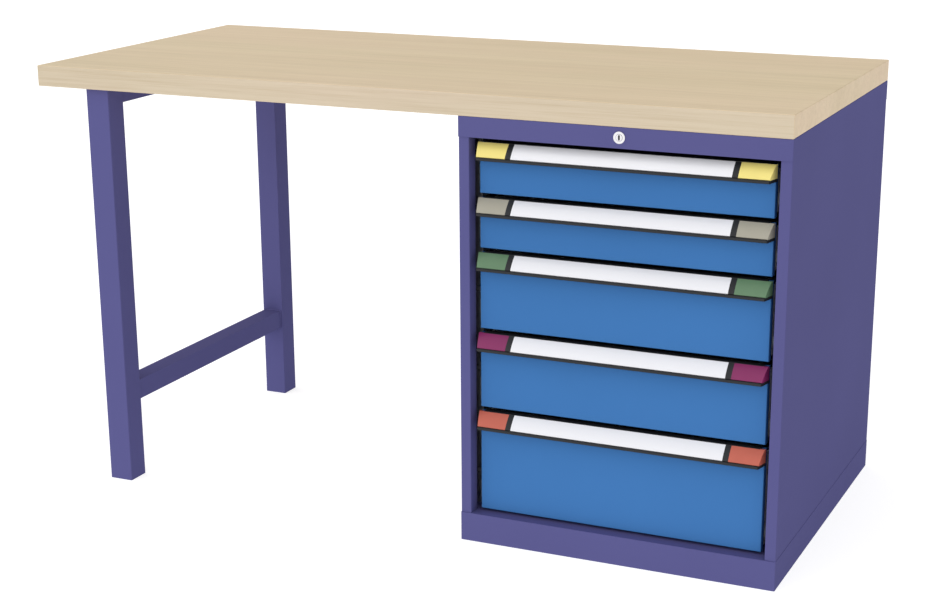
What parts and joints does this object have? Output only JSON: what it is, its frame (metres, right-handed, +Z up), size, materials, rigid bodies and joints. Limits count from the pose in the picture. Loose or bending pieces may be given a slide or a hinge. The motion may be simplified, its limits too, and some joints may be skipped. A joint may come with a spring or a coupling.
{
  "type": "workbench with drawers",
  "caption": "Workbench with a thick wooden worktop on a steel drawer cabinet at one end and a square tube leg frame at the other.",
  "frame": {"origin": "middle of the bench's footprint, on the floor", "axes": "+X right along the worktop, -Y towards the user and the drawer fronts, +Z up"},
  "size_m": [1.5, 0.706, 0.84],
  "materials": {
    "worktop": "clear satin lacquer on pale hardwood",
    "frame_violet": "satin powder coat",
    "front_blue": "satin powder coat",
    "tray_grey": "light grey powder coat",
    "grip_black": "fine matt",
    "cap_yellow": "semi-gloss",
    "cap_grey": "semi-gloss",
    "cap_green": "semi-gloss",
    "cap_plum": "semi-gloss",
    "cap_coral": "semi-gloss",
    "label_white": "smooth",
    "zinc_steel": "zinc plated",
    "lock_chrome": "polished",
    "screw_steel": "zinc plated",
    "black_plastic": "matt"
  },
  "bodies": {
    "bench": {"worktop": "worktop", "cabinet_left_side": "frame_violet", "cabinet_right_side": "frame_violet", "cabinet_back_panel": "frame_violet", "cabinet_floor": "frame_violet", "cabinet_plinth": "frame_violet", "cabinet_header": "frame_violet", "slide_uprights": "zinc_steel", "cabinet_slide_rails": "zinc_steel", "lock_housing": "lock_chrome", "front_leg": "frame_violet", "rear_leg": "frame_violet", "leg_plugs": "black_plastic", "lower_rail": "frame_violet", "upper_rail": "frame_violet", "worktop_screws": "screw_steel"},
    "drawer_1": {"drawer_1_front": "front_blue", "drawer_1_tray": "tray_grey", "drawer_1_grip": "grip_black", "drawer_1_end_caps": "cap_yellow", "drawer_1_label": "label_white", "drawer_1_slide_members": "zinc_steel"},
    "slide_1_middle": {"slide_1_middle_members": "zinc_steel", "slide_1_ball_cages": "screw_steel"},
    "drawer_2": {"drawer_2_front": "front_blue", "drawer_2_tray": "tray_grey", "drawer_2_grip": "grip_black", "drawer_2_end_caps": "cap_grey", "drawer_2_label": "label_white", "drawer_2_slide_members": "zinc_steel"},
    "slide_2_middle": {"slide_2_middle_members": "zinc_steel", "slide_2_ball_cages": "screw_steel"},
    "drawer_3": {"drawer_3_front": "front_blue", "drawer_3_tray": "tray_grey", "drawer_3_grip": "grip_black", "drawer_3_end_caps": "cap_green", "drawer_3_label": "label_white", "drawer_3_slide_members": "zinc_steel"},
    "slide_3_middle": {"slide_3_middle_members": "zinc_steel", "slide_3_ball_cages": "screw_steel"},
    "drawer_4": {"drawer_4_front": "front_blue", "drawer_4_tray": "tray_grey", "drawer_4_grip": "grip_black", "drawer_4_end_caps": "cap_plum", "drawer_4_label": "label_white", "drawer_4_slide_members": "zinc_steel"},
    "slide_4_middle": {"slide_4_middle_members": "zinc_steel", "slide_4_ball_cages": "screw_steel"},
    "drawer_5": {"drawer_5_front": "front_blue", "drawer_5_tray": "tray_grey", "drawer_5_grip": "grip_black", "drawer_5_end_caps": "cap_coral", "drawer_5_label": "label_white", "drawer_5_slide_members": "zinc_steel"},
    "slide_5_middle": {"slide_5_middle_members": "zinc_steel", "slide_5_ball_cages": "screw_steel"},
    "lock_cylinder": {"lock_cylinder": "lock_chrome", "lock_cam": "zinc_steel"},
    "lock_link": {"lock_link": "zinc_steel"},
    "locking_bar": {"locking_bar": "zinc_steel"}
  },
  "joints": [
    {"name": "drawer_1_slide", "type": "slide", "parent": "bench", "child": "drawer_1", "axis": [0, -1, 0], "range_m": [0, 0.6]},
    {"name": "slide_1_middle_slide", "type": "slide", "parent": "bench", "child": "slide_1_middle", "axis": [0, -1, 0], "range_m": [0, 0.3]},
    {"name": "drawer_2_slide", "type": "slide", "parent": "bench", "child": "drawer_2", "axis": [0, -1, 0], "range_m": [0, 0.6]},
    {"name": "slide_2_middle_slide", "type": "slide", "parent": "bench", "child": "slide_2_middle", "axis": [0, -1, 0], "range_m": [0, 0.3]},
    {"name": "drawer_3_slide", "type": "slide", "parent": "bench", "child": "drawer_3", "axis": [0, -1, 0], "range_m": [0, 0.6]},
    {"name": "slide_3_middle_slide", "type": "slide", "parent": "bench", "child": "slide_3_middle", "axis": [0, -1, 0], "range_m": [0, 0.3]},
    {"name": "drawer_4_slide", "type": "slide", "parent": "bench", "child": "drawer_4", "axis": [0, -1, 0], "range_m": [0, 0.6]},
    {"name": "slide_4_middle_slide", "type": "slide", "parent": "bench", "child": "slide_4_middle", "axis": [0, -1, 0], "range_m": [0, 0.3]},
    {"name": "drawer_5_slide", "type": "slide", "parent": "bench", "child": "drawer_5", "axis": [0, -1, 0], "range_m": [0, 0.6]},
    {"name": "slide_5_middle_slide", "type": "slide", "parent": "bench", "child": "slide_5_middle", "axis": [0, -1, 0], "range_m": [0, 0.3]},
    {"name": "lock_turn", "type": "hinge", "parent": "bench", "child": "lock_cylinder", "pos_m": [0.44825, -0.3462, 0.782], "axis": [0, -1, 0], "range_deg": [0, 90.5]},
    {"name": "lock_link_slide", "type": "slide", "parent": "bench", "child": "lock_link", "axis": [1, 0, 0], "range_m": [0, 0.0101]},
    {"name": "locking_bar_drop", "type": "slide", "parent": "bench", "child": "locking_bar", "axis": [0, 0, -1], "range_m": [0, 0.01]}
  ],
  "couplings": [
    {"joint": "slide_1_middle_slide", "follows": "drawer_1_slide", "ratio": 0.5},
    {"joint": "slide_2_middle_slide", "follows": "drawer_2_slide", "ratio": 0.5},
    {"joint": "slide_3_middle_slide", "follows": "drawer_3_slide", "ratio": 0.5},
    {"joint": "slide_4_middle_slide", "follows": "drawer_4_slide", "ratio": 0.5},
    {"joint": "slide_5_middle_slide", "follows": "drawer_5_slide", "ratio": 0.5},
    {"joint": "lock_link_slide", "follows": "locking_bar_drop", "ratio": 1},
    {"joint": "lock_turn", "follows": "locking_bar_drop", "rad_per_m": 157.08}
  ]
}
